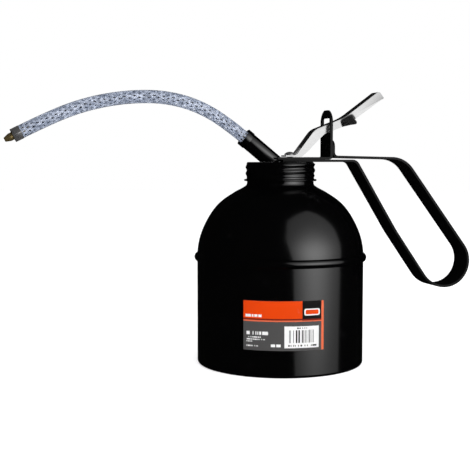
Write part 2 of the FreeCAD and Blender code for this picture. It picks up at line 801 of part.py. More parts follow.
def nozzle_tip():
    """Rounded brass tip with a shank that screws through the nut."""
    place, ahead = hose_end()
    face = 2 * seat_gap + nut_l + seat_gap
    length = tip_l
    profile = [
        (0, 0.3, 0), (tip_shank_r, 0.3, 0), (tip_shank_r, face, 0), (tip_r, face, 0),
        (tip_r, face + length * 0.4, 2.0), (tip_bore_r + 0.5, face + length, 0.2), (0, face + length, 0),
    ]
    solid = turned(profile)
    solid = solid.cut(cylinder(tip_bore_r, -1, face + length + 1))
    solid.Placement = FreeCAD.Placement(place, FreeCAD.Rotation(UP, ahead))
    return solid


# ---- all pieces -------------------------------------------------------------------------------
def ball(x, z, r):
    solid = Part.makeSphere(r)
    solid.translate(V(x, 0, z))
    return solid


parts["can_cup"] = can_cup()
parts["can_dome"] = can_dome()
parts["seam_bead"] = seam_bead()
parts["label"] = label()
parts["screw_cap"] = screw_cap()
parts["cap_gasket"] = cap_gasket()
parts["pump_block"] = pump_block()
parts["rod_gland"] = rod_gland()
parts["pump_barrel"] = pump_barrel()
parts["foot_valve"] = foot_valve()
parts["ball_cage_pin"] = cage_pin_cylinder(cage_pin_r)
parts["inlet_ball"] = ball(rod_x, inlet_ball_z(), ball_r)
parts["suction_tube"] = suction_tube()
parts["suction_strainer"] = suction_strainer()
parts["outlet_ball"] = ball(outlet_x, outlet_ball_z, outlet_ball_r)
parts["outlet_spring"] = outlet_spring()
parts["piston_rod"] = piston_rod()
parts["piston"] = piston()
parts["cup_seal"] = cup_seal()
parts["piston_nut"] = piston_nut()
parts["return_spring"] = return_spring()
parts["handle_strap"] = handle_strap()
parts["lever_post"] = lever_post()
for name, y in (("near", -1), ("far", 1)):
    parts["post_rivet_" + name] = rivet_cylinder(y * rivet_y, rivet_r)
    parts["plate_screw_" + name] = countersunk(y * screw_y, 0)
parts["thumb_lever"] = thumb_lever()
parts["spout_tube"] = spout_tube()
parts["spout_weld"] = spout_weld()
parts["spout_collar"] = spout_collar()
parts["spout_insert"] = spout_insert()
parts["hose"] = hose()
parts["nozzle_insert"] = nozzle_insert()
parts["nozzle_nut"] = nozzle_nut()
parts["nozzle_tip"] = nozzle_tip()

os.makedirs("parts", exist_ok=True)
for name, shape in parts.items():
    if shape.ShapeType == "Compound" and len(shape.Solids) == 1:
        shape = shape.Solids[0]
    shape.exportStep(f"parts/{name}.step")
    print(name, len(shape.Solids), shape.isValid(), round(shape.Volume, 2))
print("pivot", pivot(), "cap top", cap_z, "lift per radian", lift_per_radian, "stroke", rod_stroke)
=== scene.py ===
import bmesh
import bpy
import json
import math
from mathutils import Matrix, Vector


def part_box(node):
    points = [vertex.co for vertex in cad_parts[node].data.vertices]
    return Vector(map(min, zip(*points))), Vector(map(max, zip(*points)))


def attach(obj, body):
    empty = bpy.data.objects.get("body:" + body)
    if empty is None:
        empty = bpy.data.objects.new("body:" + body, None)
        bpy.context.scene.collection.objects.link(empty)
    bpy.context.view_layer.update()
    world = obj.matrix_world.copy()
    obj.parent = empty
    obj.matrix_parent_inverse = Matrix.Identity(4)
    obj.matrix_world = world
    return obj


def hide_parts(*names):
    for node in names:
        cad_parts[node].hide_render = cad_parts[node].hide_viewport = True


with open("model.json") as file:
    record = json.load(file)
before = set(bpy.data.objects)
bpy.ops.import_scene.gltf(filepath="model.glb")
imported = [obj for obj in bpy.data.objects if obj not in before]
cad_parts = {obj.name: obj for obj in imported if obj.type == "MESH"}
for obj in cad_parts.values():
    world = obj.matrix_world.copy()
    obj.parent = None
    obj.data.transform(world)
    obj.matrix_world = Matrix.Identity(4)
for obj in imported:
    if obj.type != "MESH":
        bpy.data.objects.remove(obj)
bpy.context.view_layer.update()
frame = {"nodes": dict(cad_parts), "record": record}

mm = 0.001
nodes = frame["nodes"]

# A pump oil can: black enamelled can, screw cap with a lift pump under it, thumb lever,
# strap handle and a braided hose with a brass nozzle. Metres, +X to the handle, +Z up.

view = {
    "place": (-0.17013, -0.48808, 0.1089),
    "turnDeg": 16.5,
    "tilt": 0.077,
    "lens": 72.957,
    "nearest": 0.01,
}


def makeCamera():
    data = bpy.data.cameras.new("camera")
    data.lens = view["lens"]
    data.clip_start = view["nearest"]
    camera = bpy.data.objects.new("camera", data)
    camera.location = view["place"]
    turn = -math.radians(view["turnDeg"])
    camera.rotation_euler = (math.pi / 2 - view["tilt"], 0, turn)
    scene = bpy.context.scene
    scene.collection.objects.link(camera)
    scene.camera = camera
    scene.view_settings.view_transform = "Standard"   # keeps the backdrop white


class Val:
    # one socket, used in sums as if it were a number

    def __init__(self, paint, socket):
        self.paint = paint
        self.socket = socket

    def maths(self, operation, *others):
        return self.paint.maths(operation, self, *others)

    def __add__(self, other):
        return self.maths("ADD", other)

    def __radd__(self, other):
        return self.paint.maths("ADD", other, self)

    def __sub__(self, other):
        return self.maths("SUBTRACT", other)

    def __rsub__(self, other):
        return self.paint.maths("SUBTRACT", other, self)

    def __mul__(self, other):
        return self.maths("MULTIPLY", other)

    def __rmul__(self, other):
        return self.paint.maths("MULTIPLY", other, self)

    def __truediv__(self, other):
        return self.maths("DIVIDE", other)

    def __rtruediv__(self, other):
        return self.paint.maths("DIVIDE", other, self)

    def __gt__(self, other):
        return self.maths("GREATER_THAN", other)

    def __lt__(self, other):
        return self.maths("LESS_THAN", other)

    def held(self):
        return self.maths("MAXIMUM", 0).maths("MINIMUM", 1)

    def larger(self, other):
        return self.maths("MAXIMUM", other)

    def bell(self, middle, width):
        off = (self - middle) / width
        return (off * off * -1).maths("EXPONENT")


class Paint:
    # one node tree and the few ways that its nodes are made

    def __init__(self, owner):
        owner.use_nodes = True
        self.owner = owner
        self.tree = owner.node_tree
        self.tree.nodes.clear()

    def node(self, kind, settings=None, sockets=None, out=0):
        made = self.tree.nodes.new(kind)
        for key, value in (settings or {}).items():
            setattr(made, key, value)
        for key, value in (sockets or {}).items():
            if isinstance(value, Val):
                self.tree.links.new(value.socket, made.inputs[key])
            else:
                made.inputs[key].default_value = value
        return Val(self, made.outputs[out]) if made.outputs else None

    def maths(self, operation, *values):
        return self.node("ShaderNodeMath", {"operation": operation}, dict(enumerate(values)))

    def noise(self, size, detail, stretch=(1, 1, 1)):
        # size is the width of one cloud, in metres
        where = self.node("ShaderNodeTexCoord", out="Object")
        if stretch != (1, 1, 1):
            where = self.node("ShaderNodeMapping", {}, {"Vector": where, "Scale": stretch})
        sockets = {"Vector": where, "Scale": 1 / size, "Detail": detail}
        return self.node("ShaderNodeTexNoise", {}, sockets)

    def blend(self, amount, low, high):
        # sockets 6 and 7 are the two colours, and output 2 is their mix
        sockets = {0: amount, 6: low, 7: high}
        return self.node("ShaderNodeMix", {"data_type": "RGBA"}, sockets, 2)

    def bump(self, height, depth, strength):
        sockets = {"Height": height, "Distance": depth, "Strength": strength}
        return self.node("ShaderNodeBump", {}, sockets)

    def finish(self, **sockets):
        named = {socketNames[key]: value for key, value in sockets.items()}
        shader = self.node("ShaderNodeBsdfPrincipled", {}, named)
        self.node("ShaderNodeOutputMaterial", {}, {"Surface": shader})
        return self.owner


socketNames = {
    "colour": "Base Color",
    "rough": "Roughness",
    "metal": "Metallic",
    "normal": "Normal",
    "specular": "Specular IOR Level",
    "ior": "IOR",
    "clear": "Transmission Weight",
    "inner": "Subsurface Weight",
    "innerSize": "Subsurface Scale",
    "glow": "Emission Color",
    "glowLevel": "Emission Strength",
}


tints = {
    "dust": (0.05, 0.05, 0.052, 1),
    "castLight": (0.36, 0.36, 0.38, 1),
    "castDark": (0.22, 0.22, 0.235, 1),
    "rubberDark": (0.016, 0.016, 0.016, 1),
    "rubberBloom": (0.05, 0.048, 0.045, 1),
    "tubePale": (0.72, 0.71, 0.66, 1),
    "tubeYellowed": (0.62, 0.58, 0.48, 1),
    "hoseClear": (0.93, 0.95, 1.0, 1),
    "hoseCloudy": (0.82, 0.87, 0.98, 1),
    # painted shade: the dark core inside the hose
    "coreShadeDark": (0.008, 0.012, 0.025, 1),
    "coreShadeLight": (0.03, 0.04, 0.08, 1),
    "yarnDark": (0.12, 0.145, 0.2, 1),
    "yarnLight": (0.8, 0.83, 0.9, 1),
    # painted light: the yarn's faint bluish glow
    "yarnPaintedGlow": (0.66, 0.76, 0.95, 1),
    "paperWorn": (0.6, 0.58, 0.55, 1),
}


def newPaint(name):
    return Paint(bpy.data.materials.new(name))


def enamel(name, black, rough, grain, depth, specular=0.55):
    # sprayed and baked black: faint orange peel, a few dust nibs, hazy patches from handling
    paint = newPaint(name)
    peel = paint.noise(grain, 2)
    haze = paint.noise(0.018, 5)
    nibs = ((paint.noise(0.0009, 1) - 0.8) * 9).held()
    rubbed = ((paint.noise(0.006, 6) - 0.62) * 4).held()
    colour = paint.blend(nibs * 0.15 + rubbed * 0.05, black, tints["dust"])
    gloss = haze * rough[1] + rubbed * 0.06 + nibs * 0.1 + rough[0]
    height = peel + nibs * 0.5
    return paint.finish(colour=colour, rough=gloss, specular=specular,
                        normal=paint.bump(height, depth, 0.6))


def plated(name, bright, dull, rough, along, metal, depth=0.00001):
    # metal with fine scratches along one way, cloudy oxide and a little speckle
    paint = newPaint(name)
    lines = paint.noise(0.0004, 4, stretch=along)
    cloud = paint.noise(0.008, 5)
    pits = ((paint.noise(0.0007, 2) - 0.7) * 6).held()
    shade = (cloud * 0.9 + pits - 0.15).held()
    colour = paint.blend(shade, bright, dull)
    gloss = lines * rough[1] + cloud * 0.08 + rough[0]
    height = lines - pits * 1.5
    return paint.finish(colour=colour, rough=gloss, metal=metal,
                        normal=paint.bump(height, depth, 0.5))


def castMetal():
    paint = newPaint("zincCasting")
    grain = paint.noise(0.0006, 4)
    cloud = paint.noise(0.006, 4)
    colour = paint.blend(cloud, tints["castLight"], tints["castDark"])
    return paint.finish(colour=colour, rough=cloud * 0.2 + 0.42, metal=1.0,
                        normal=paint.bump(grain, 0.00008, 0.7))


def rubber():
    paint = newPaint("rubber")
    grain = paint.noise(0.0005, 3)
    bloom = paint.noise(0.004, 4)
    colour = paint.blend(bloom, tints["rubberDark"], tints["rubberBloom"])
    return paint.finish(colour=colour, rough=bloom * 0.2 + 0.6,
                        normal=paint.bump(grain, 0.00005, 0.6))


def tubePlastic():
    paint = newPaint("tubePlastic")
    cloud = paint.noise(0.005, 4)
    lines = paint.noise(0.0009, 3, stretch=(1, 1, 0.05))
    colour = paint.blend(cloud, tints["tubePale"], tints["tubeYellowed"])
    return paint.finish(colour=colour, rough=lines * 0.15 + 0.3, inner=0.25, innerSize=0.002,
                        normal=paint.bump(lines, 0.00004, 0.5))


def clearHose():
    # clear bluish plastic wall over the braid
    paint = newPaint("clearHose")
    cloud = paint.noise(0.004, 4)
    waves = paint.noise(0.0016, 3)
    colour = paint.blend(cloud, tints["hoseClear"], tints["hoseCloudy"])
    return paint.finish(colour=colour, rough=cloud * 0.08 + 0.1, clear=1.0, ior=1.42,
                        normal=paint.bump(waves, 0.00003, 0.25))


def shadedCore():
    # a thin dark core along the middle of the hose, painted shade of the hose's hollow inside
    paint = newPaint("shadedCore")
    cloud = paint.noise(0.003, 4)
    colour = paint.blend(cloud, tints["coreShadeDark"], tints["coreShadeLight"])
    return paint.finish(colour=colour, rough=cloud * 0.2 + 0.2,
                        normal=paint.bump(cloud, 0.0001, 0.4))


def yarn():
    paint = newPaint("yarn")
    # the yarn glows faintly bluish: painted light that lifts its shade, standing in for light
    # passing through the yarn
    fibre = paint.noise(0.00012, 3, stretch=(0.15, 1, 1))
    cloud = paint.noise(0.0022, 3)
    patch = ((cloud - 0.38) * 3.2).held()
    colour = paint.blend(fibre * 0.3 + patch * 0.7, tints["yarnDark"], tints["yarnLight"])
    return paint.finish(colour=colour, rough=cloud * 0.2 + 0.5, specular=0.2,
                        glow=tints["yarnPaintedGlow"], glowLevel=0.09,
                        normal=paint.bump(fibre, 0.00002, 0.3))


labelPrint = {
    "width": 42.0,           # millimetres, as the areas below
    "height": 25.0,
    "orange": (0.79, 0.062, 0.0, 1),
    "salmon": (0.78, 0.16, 0.07, 1),
    "wine": (0.2, 0.02, 0.01, 1),
    "slate": (0.085, 0.083, 0.083, 1),
    "black": (0.006, 0.006, 0.006, 1),
    "white": (0.9, 0.9, 0.9, 1),
}


def labelFinish():
    # printed areas as (left, right, low, high), from the middle of the lower edge, the later
    # over the earlier; dashes add their step, a seed and the share that stays blank
    s = labelPrint
    paint = newPaint("labelPaper")
    across = paint.node("ShaderNodeTexCoord", out="UV")
    u = paint.node("ShaderNodeSeparateXYZ", {}, {0: across}, "X") * s["width"] - s["width"] / 2
    v = paint.node("ShaderNodeSeparateXYZ", {}, {0: across}, "Y") * s["height"]

    def area(left, right, low, high):
        return (u > left) * (u < right) * (v > low) * (v < high)

    def dashes(left, right, low, high, width, seed, share):
        # marks of uneven width in a strip
        step = (u / width + seed).maths("FLOOR")
        mark = paint.node("ShaderNodeTexWhiteNoise", {"noise_dimensions": "1D"}, {"W": step})
        return area(left, right, low, high) * (mark > share)

    def tablet(left, right, low, high, corner):
        x = ((u - (left + right) / 2).maths("ABSOLUTE") - (right - left) / 2 + corner).larger(0)
        y = ((v - (low + high) / 2).maths("ABSOLUTE") - (high - low) / 2 + corner).larger(0)
        return (x * x + y * y).maths("SQRT") < corner

    layers = [
        (area(-21, 21, 14.6, 16.2), "salmon"),
        (area(-21, 19.6, 15.4, 16.2), "wine"),
        (area(-21, 9.3, 16.2, 25), "orange"),
        (dashes(-19.8, -10.6, 16.9, 18.2, 0.42, 3, 0.25), "white"),
        (area(9.3, 19.6, 15.2, 25), "black"),
        (tablet(10.3, 18.7, 17.7, 21.2, 0.9), "white"),
        (tablet(11.0, 18.0, 18.3, 20.6, 0.6), "orange"),
        (area(9.3, 19.6, 15.2, 16.0), "wine"),
        (area(19.6, 21, 0, 25), "salmon"),
        (dashes(-19.3, -8.0, 7.9, 9.6, 0.5, 11, 0.2), "white"),
        (dashes(-19.3, -11.4, 6.4, 7.0, 0.3, 5, 0.35), "white"),
        (dashes(-19.3, -9.4, 5.3, 5.9, 0.3, 17, 0.35), "white"),
        (dashes(-19.3, -16.2, 4.2, 4.8, 0.3, 23, 0.35), "white"),
        (dashes(-19.3, -13.2, 1.9, 2.6, 0.3, 29, 0.35), "white"),
        (dashes(-7.2, -1.4, 1.9, 3.3, 0.55, 41, 0.25), "white"),
        (area(0.2, 18.2, 1.4, 12.4), "white"),
        (dashes(2.4, 15.8, 4.0, 10.4, 0.26, 7, 0.48), "black"),
        (dashes(6.2, 11.8, 11.1, 11.8, 0.3, 31, 0.35), "black"),
        (dashes(1.4, 16.9, 2.2, 3.0, 0.42, 37, 0.45), "black"),
    ]
    colour = s["slate"]
    for mask, ink in layers:
        colour = paint.blend(mask, colour, s[ink])
    worn = paint.noise(0.004, 6)
    rubbed = ((worn - 0.68) * 5).held()
    colour = paint.blend(rubbed * 0.25, colour, tints["paperWorn"])
    fibre = paint.noise(0.0003, 3)
    return paint.finish(colour=colour, rough=worn * 0.2 + 0.3, specular=0.12,
                        normal=paint.bump(fibre, 0.00001, 0.5))


# rough is the lowest roughness and what haze or scratches add, along stretches the scratches
finishes = {
    "black_enamel": enamel(
        "blackEnamel", black=(0.0005, 0.0005, 0.0006, 1), rough=(0.09, 0.1),
        grain=0.0012, depth=0.000012),
    "satin_black": enamel(
        "satinBlack", black=(0.0015, 0.0015, 0.0016, 1), rough=(0.26, 0.14),
        grain=0.0006, depth=0.00003, specular=0.1),
    "nickel_plate": plated(
        "nickelPlate", bright=(0.27, 0.27, 0.27, 1), dull=(0.24, 0.24, 0.24, 1),
        rough=(0.16, 0.12), along=(0.08, 1, 1), metal=0.97, depth=0.000003),
    "steel": plated(
        "steel", bright=(0.5, 0.5, 0.51, 1), dull=(0.26, 0.25, 0.25, 1),
        rough=(0.2, 0.2), along=(1, 0.1, 1), metal=0.92),
    "brass": plated(
        "brass", bright=(0.42, 0.31, 0.13, 1), dull=(0.13, 0.1, 0.05, 1),
        rough=(0.22, 0.2), along=(1, 1, 0.1), metal=0.9),
    "zinc_casting": castMetal(),
    "rubber": rubber(),
    "tube_plastic": tubePlastic(),
    "braided_hose": clearHose(),
    "label_paper": labelFinish(),
}
print("finishes made")


meshCare = {
    "merge": 2e-6,           # distances in metres
    "bevelMerge": 4e-6,
    "sliver": 1e-6,
    "exact": 1e-7,
    "flatDeg": 0.6,
    "cornerDeg": 38,
}

# radius of each piece's rounded edges, in metres, and the steps across them
edgeRounds = {
    "nozzle_nut": (0.00025, 2),
    "nozzle_tip": (0.0001, 2),
    "handle_strap": (0.0003, 3),
    "lever_post": (0.0003, 3),
    "plate_screw_near": (0.00008, 1),
    "plate_screw_far": (0.00008, 1),
    "spout_tube": (0.0001, 2),
    "spout_weld": (0.0003, 3),
    "spout_collar": (0.0003, 3),
    "piston_rod": (0.0002, 2),
}


def show(bm, name, body, slotName, smoothDeg=35):
    mesh = bpy.data.meshes.new(name)
    bm.to_mesh(mesh)
    bm.free()
    mesh.materials.append(finishes[slotName])
    mesh.shade_smooth()
    mesh.set_sharp_from_angle(angle=math.radians(smoothDeg))
    piece = bpy.data.objects.new(name, mesh)
    bpy.context.scene.collection.objects.link(piece)
    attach(piece, body)
    return piece


def copied(nodeName):
    bm = bmesh.new()
    bm.from_mesh(nodes[nodeName].data)
    flat = math.radians(meshCare["flatDeg"])
    bmesh.ops.remove_doubles(bm, verts=bm.verts, dist=meshCare["merge"])
    bmesh.ops.dissolve_limit(bm, angle_limit=flat, verts=bm.verts, edges=bm.edges)
    return bm


def corners(bm):
    limit = math.radians(meshCare["cornerDeg"])
    return [e for e in bm.edges if len(e.link_faces) == 2 and e.calc_face_angle() > limit]


def rounded(bm, edges, radius, segments):
    bmesh.ops.bevel(bm, geom=edges, offset=radius, offset_type="OFFSET", segments=segments,
                    profile=0.5, affect="EDGES", material=-1, clamp_overlap=True)
    bmesh.ops.remove_doubles(bm, verts=bm.verts, dist=meshCare["bevelMerge"])
    bmesh.ops.dissolve_degenerate(bm, edges=bm.edges, dist=meshCare["sliver"])


def softened(nodeName, name, body, slotName):
    bm = copied(nodeName)
    rounded(bm, corners(bm), *edgeRounds[nodeName])
    piece = show(bm, name, body, slotName)
    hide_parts(nodeName)
    return piece


def spun(profile, steps, centre=(0, 0, 0), axis=(0, 0, 1)):
    # profile is a list of (distance from the axis, height), in millimetres
    bm = bmesh.new()
    verts = [bm.verts.new((r * mm, 0, z * mm)) for r, z in profile]
    edges = [bm.edges.new(pair) for pair in zip(verts, verts[1:])]
    bmesh.ops.spin(bm, geom=verts + edges, cent=(0, 0, 0), axis=(0, 0, 1), angle=2 * math.pi,
                   steps=steps, use_merge=True)
    bmesh.ops.remove_doubles(bm, verts=bm.verts, dist=meshCare["exact"])
    bmesh.ops.recalc_face_normals(bm, faces=bm.faces)
    turn = Vector((0, 0, 1)).rotation_difference(Vector(axis)).to_matrix().to_4x4()
    bmesh.ops.transform(bm, matrix=Matrix.Translation(centre) @ turn, verts=bm.verts)
    return bm


def arcPoints(x, z, radius, startDeg, endDeg, count):
    spots = []
    for i in range(count + 1):
        angle = math.radians(startDeg + (endDeg - startDeg) * i / count)
        spots.append((x + radius * math.cos(angle), z + radius * math.sin(angle)))
    return spots


hoseShape = {
    "route": [
        (-0.0171205, 0, 0.1191289), (-0.030, 0, 0.1293363), (-0.0455, 0, 0.1380363),
        (-0.063, 0, 0.1424363), (-0.082, 0, 0.1422363), (-0.101, 0, 0.1389363),
        (-0.1195, 0, 0.1325363), (-0.1369, 0, 0.1236863),
    ],
    "exit": (-0.02056, 0, 0.12188),
    "length": 0.129,
    "radius": 0.0034,
    "boreR": 0.0008,
    "yarnR": 0.00272,
    "threadR": 0.00019,
    "threads": 3,            # side by side in one yarn
    "threadGap": 0.00037,
    "carriers": 9,           # yarns that wind each way
    "pitch": 0.046,
    "weave": 0.00012,
    "stations": 90,
    "alongSteps": 24,
    "skinSteps": 6,
    "boreSteps": 4,
    "threadSteps": 1,
}


def routeCurve(name, radius, aroundSteps):
    data = bpy.data.curves.new(name, "CURVE")
    data.dimensions = "3D"
    data.resolution_u = hoseShape["alongSteps"]
    data.bevel_depth = radius
    data.bevel_resolution = aroundSteps
    data.use_fill_caps = radius > 0
    line = data.splines.new("NURBS")
    line.points.add(len(hoseShape["route"]) - 1)
    for point, spot in zip(line.points, hoseShape["route"]):
        point.co = (*spot, 1)
    line.order_u = 3
    line.use_endpoint_u = True
    piece = bpy.data.objects.new(name, data)
    bpy.context.scene.collection.objects.link(piece)
    return piece


def routeStations(count):
    # evenly spaced places on the route, as (length so far, place, way ahead)
    bare = routeCurve("bareRoute", 0, hoseShape["skinSteps"])
    mesh = bpy.data.meshes.new_from_object(bare)
    points = [v.co.copy() for v in mesh.vertices]
    bpy.data.objects.remove(bare)
    bpy.data.meshes.remove(mesh)
    run = [0.0]
    for a, b in zip(points, points[1:]):
        run.append(run[-1] + (b - a).length)
    found = []
    leg = 0
    for i in range(count):
        target = run[-1] * i / (count - 1)
        while leg < len(points) - 2 and run[leg + 1] < target:
            leg += 1
        share = (target - run[leg]) / (run[leg + 1] - run[leg])
        ahead = (points[leg + 1] - points[leg]).normalized()
        found.append((target, points[leg].lerp(points[leg + 1], share), ahead))
    return found


def addStrand(data, line, way, carrier, shift):
    # one thread, wound round the route one way and woven over and under those of the other way
    s = hoseShape
    across = Vector((0, 1, 0))
    strand = data.splines.new("POLY")
    strand.points.add(len(line) - 1)
    for point, (run, spot, ahead) in zip(strand.points, line):
        twist = run / s["pitch"]
        angle = 2 * math.pi * (carrier / s["carriers"] + way * twist) + shift
        other = carrier + way * 2 * twist * s["carriers"]
        radius = s["yarnR"] + way * s["weave"] * math.cos(math.pi * (carrier + other))
        up = across.cross(ahead)
        place = spot + (up * math.cos(angle) + across * math.sin(angle)) * radius
        point.co = (*place, 1)


def makeHose():
    s = hoseShape
    skin = routeCurve("hoseSkin", s["radius"], s["skinSteps"])
    # the bore is a thin dark core, painted shade of the hose's hollow inside
    bore = routeCurve("hoseBore", s["boreR"], s["boreSteps"])
    data = bpy.data.curves.new("hoseBraid", "CURVE")
    data.dimensions = "3D"
    data.bevel_depth = s["threadR"]
    data.bevel_resolution = s["threadSteps"]
    data.use_fill_caps = True
    line = routeStations(s["stations"])
    for way in (1, -1):
        for carrier in range(s["carriers"]):
            for thread in range(s["threads"]):
                shift = (thread - (s["threads"] - 1) / 2) * s["threadGap"] / s["yarnR"]
                addStrand(data, line, way, carrier, shift)
    braid = bpy.data.objects.new("hoseBraid", data)
    bpy.context.scene.collection.objects.link(braid)
    painted = ((skin, finishes["braided_hose"]), (bore, shadedCore()), (braid, yarn()))
    for piece, material in painted:
        piece.data.materials.append(material)
        piece.visible_glossy = False      # the can doesn't mirror it
        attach(piece, "head")
    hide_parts("hose")
    return skin, bore, braid


makeCamera()
hoseSkin, hoseBore, hoseBraid = makeHose()
print("hose made")


nozzleNut = softened("nozzle_nut", "nozzleNut", "head", "steel")
nozzleTip = softened("nozzle_tip", "nozzleTip", "head", "brass")
print("nozzle made")


capShape = {
    "low": 98.436,           # millimetres
    "top": 108.636,
    "under": 107.836,
    "bore": 17.6,
    "r": 18.2,
    "lipR": 19.6,
    "lipH": 1.0,
    "lipSteps": 8,
    "lipEndDeg": 75,
    "lipFoot": 0.12,         # the corner where the lip meets the wall
    "plainH": 0.4,           # height between the lip and the first row of the thread
    "topCorner": 0.9,
    "topStartDeg": 12,
    "topSteps": 6,
    "pitch": 3.4,
    "ridge": 0.6,
    "firstZ": 100.95,        # height of the ridge on the +X side
    "turns": 2.1,
    "fade": 0.3,
    "steps": 160,
    "rowH": 0.2,
    "rowMargin": 0.1,
    "rowSlack": 0.01,
}


def ridgeRise(s, x, y, z):
    # how far the rolled thread stands out here, in millimetres
    turn = math.atan2(y, x) / (2 * math.pi)
    run = (z - s["firstZ"]) / s["pitch"]
    off = run - turn - round(run - turn)
    start = min(1, max(0, run / s["fade"] + 0.5))
    stop = min(1, max(0, (s["turns"] - run) / s["fade"] + 0.5))
    return s["ridge"] * (0.5 + 0.5 * math.cos(2 * math.pi * off)) * start * stop


def threadRows(low, high, r, rowH):
    count = round((high - low) / rowH)
    return [(r, low + (high - low) * i / count) for i in range(count + 1)]


def raiseThread(bm, s, low, high):
    for v in bm.verts:
        x, y, z = v.co / mm
        if low < z < high and abs(math.hypot(x, y) - s["r"]) < s["rowSlack"]:
            grow = 1 + ridgeRise(s, x, y, z) / s["r"]
            v.co.x *= grow
            v.co.y *= grow


def cutAway(piece, cutter):
    # takes the cutter's shape out of the piece for good
    tool = bpy.data.objects.new("cutter", bpy.data.meshes.new("cutter"))
    cutter.to_mesh(tool.data)
    cutter.free()
    bpy.context.scene.collection.objects.link(tool)
    cut = piece.modifiers.new("cut", "BOOLEAN")
    cut.object = tool
    cut.solver = "EXACT"
    bpy.context.view_layer.update()
    final = piece.evaluated_get(bpy.context.evaluated_depsgraph_get())
    shaped = bpy.data.meshes.new_from_object(final)
    piece.modifiers.clear()
    piece.data = shaped
    bpy.data.objects.remove(tool)


def makeCap():
    s = capShape
    half = s["lipH"] / 2
    wallLow = s["low"] + s["lipH"] + s["plainH"]
    wallHigh = s["top"] - s["topCorner"]
    profile = [(0, s["under"]), (s["bore"], s["under"]), (s["bore"], s["low"])]
    profile += arcPoints(s["lipR"] - half, s["low"] + half, half, -90, s["lipEndDeg"],
                         s["lipSteps"])
    profile += [(s["r"] + s["lipFoot"], s["low"] + s["lipH"] + s["lipFoot"])]
    profile += threadRows(wallLow, wallHigh, s["r"], s["rowH"])
    profile += arcPoints(s["r"] - s["topCorner"], wallHigh, s["topCorner"], s["topStartDeg"], 90,
                         s["topSteps"])
    profile += [(0, s["top"])]
    bm = spun(profile, s["steps"])
    raiseThread(bm, s, wallLow - s["rowMargin"], wallHigh + s["rowMargin"])
    cap = show(bm, "screwCap", "head", "black_enamel")
    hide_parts("screw_cap")
    return cap


rodHole = {"x": 5.4, "r": 1.9, "low": 100, "high": 112, "steps": 32}


def cutRodHole(cap):
    s = rodHole
    profile = [(0, s["low"]), (s["r"], s["low"]), (s["r"], s["high"]), (0, s["high"])]
    cutAway(cap, spun(profile, s["steps"], (s["x"] * mm, 0, 0)))


cutRodHole(makeCap())
print("cap made")


domeShape = {
    "canR": 45.0,            # millimetres
    "seamZ": 58.0,
    "arcR": 37.1,
    "arcDeg": 58,
    "arcSteps": 30,
    "slopeDeg": 32,
    "coneR": [26.5, 25.3, 24.1, 22.9, 21.8, 20.8, 20.0],
    "wall": 0.6,
    "lift": 1.28,            # fullness of the shoulder
    "sideR": (33, 10),       # it fades out from this radius, over this width
    "neckR": (20, 5),        # up to here it has the first share, and over this width gains the rest
    "neckShares": (0.68, 0.32),
    "neck": [
        (19.2, 95.55), (18.6, 95.98), (18.25, 96.4), (18.06, 96.9), (18.0, 97.3), (18.0, 98.2),
        (17.215, 98.25), (17.215, 105.9), (17.0, 106.02), (16.6, 106.02), (16.415, 105.9),
        (16.415, 96.2),
    ],
    "lap": [(43.75, 58.0), (43.75, 52.0), (44.35, 52.0), (44.35, 57.65), (45.0, 57.65)],
    "steps": 192,
}


def eased(share):
    share = min(1, max(0, share))
    return share * share * (3 - 2 * share)


def fullness(s, r):
    side = eased((r - s["sideR"][0]) / s["sideR"][1])
    neck = eased((r - s["neckR"][0]) / s["neckR"][1])
    least, more = s["neckShares"]
    return s["lift"] * (1 - side) * (least + more * neck)


def shoulderLine(s, arcR):
    # the dome's arc from the seam up, then the slope to the neck, made fuller by the lift
    middle = s["canR"] - s["arcR"]
    line = arcPoints(middle, s["seamZ"], arcR, 0, s["arcDeg"], s["arcSteps"])
    endR, endZ = line[-1]
    slope = math.tan(math.radians(s["slopeDeg"]))
    line += [(r, endZ + (endR - r) * slope) for r in s["coneR"]]
    return [(r, z + fullness(s, r)) for r, z in line]


def makeDome():
    s = domeShape
    outer = shoulderLine(s, s["arcR"])
    inner = shoulderLine(s, s["arcR"] - s["wall"])
    profile = outer + s["neck"] + inner[::-1] + s["lap"]
    bm = spun(profile + profile[:1], s["steps"])
    piece = show(bm, "canDome", "can", "black_enamel")
    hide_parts("can_dome")


makeDome()

neckShape = {
    "low": 99.3,             # millimetres
    "high": 105.9,
    "r": 17.215,
    "sunk": 0.1,             # the thread's foot lies this deep in the neck
    "pitch": 3.4,
    "ridge": 0.3,
    "firstZ": 99.9,
    "turns": 1.6,
    "fade": 0.2,
    "steps": 144,
    "rowH": 0.22,
    "rowMargin": 0.1,
    "rowSlack": 0.01,
}


def makeNeckThread():
    s = neckShape
    inner = s["r"] - s["sunk"]
    rows = threadRows(s["low"], s["high"], s["r"], s["rowH"])
    profile = [(inner, s["low"])] + rows + [(inner, s["high"])]
    bm = spun(profile + profile[:1], s["steps"])
    raiseThread(bm, s, s["low"] + s["rowMargin"], s["high"] - s["rowMargin"])
    show(bm, "neckThread", "can", "black_enamel")


makeNeckThread()
print("can made")


softened("handle_strap", "handleStrap", "head", "satin_black")

postShape = {
    "top": 136.736,          # millimetres
    "half": 7.5,
    "roundR": 7.75,
    "levels": 14,
    "windowTop": 3.3,
    "windowHalf": 5.6,
}


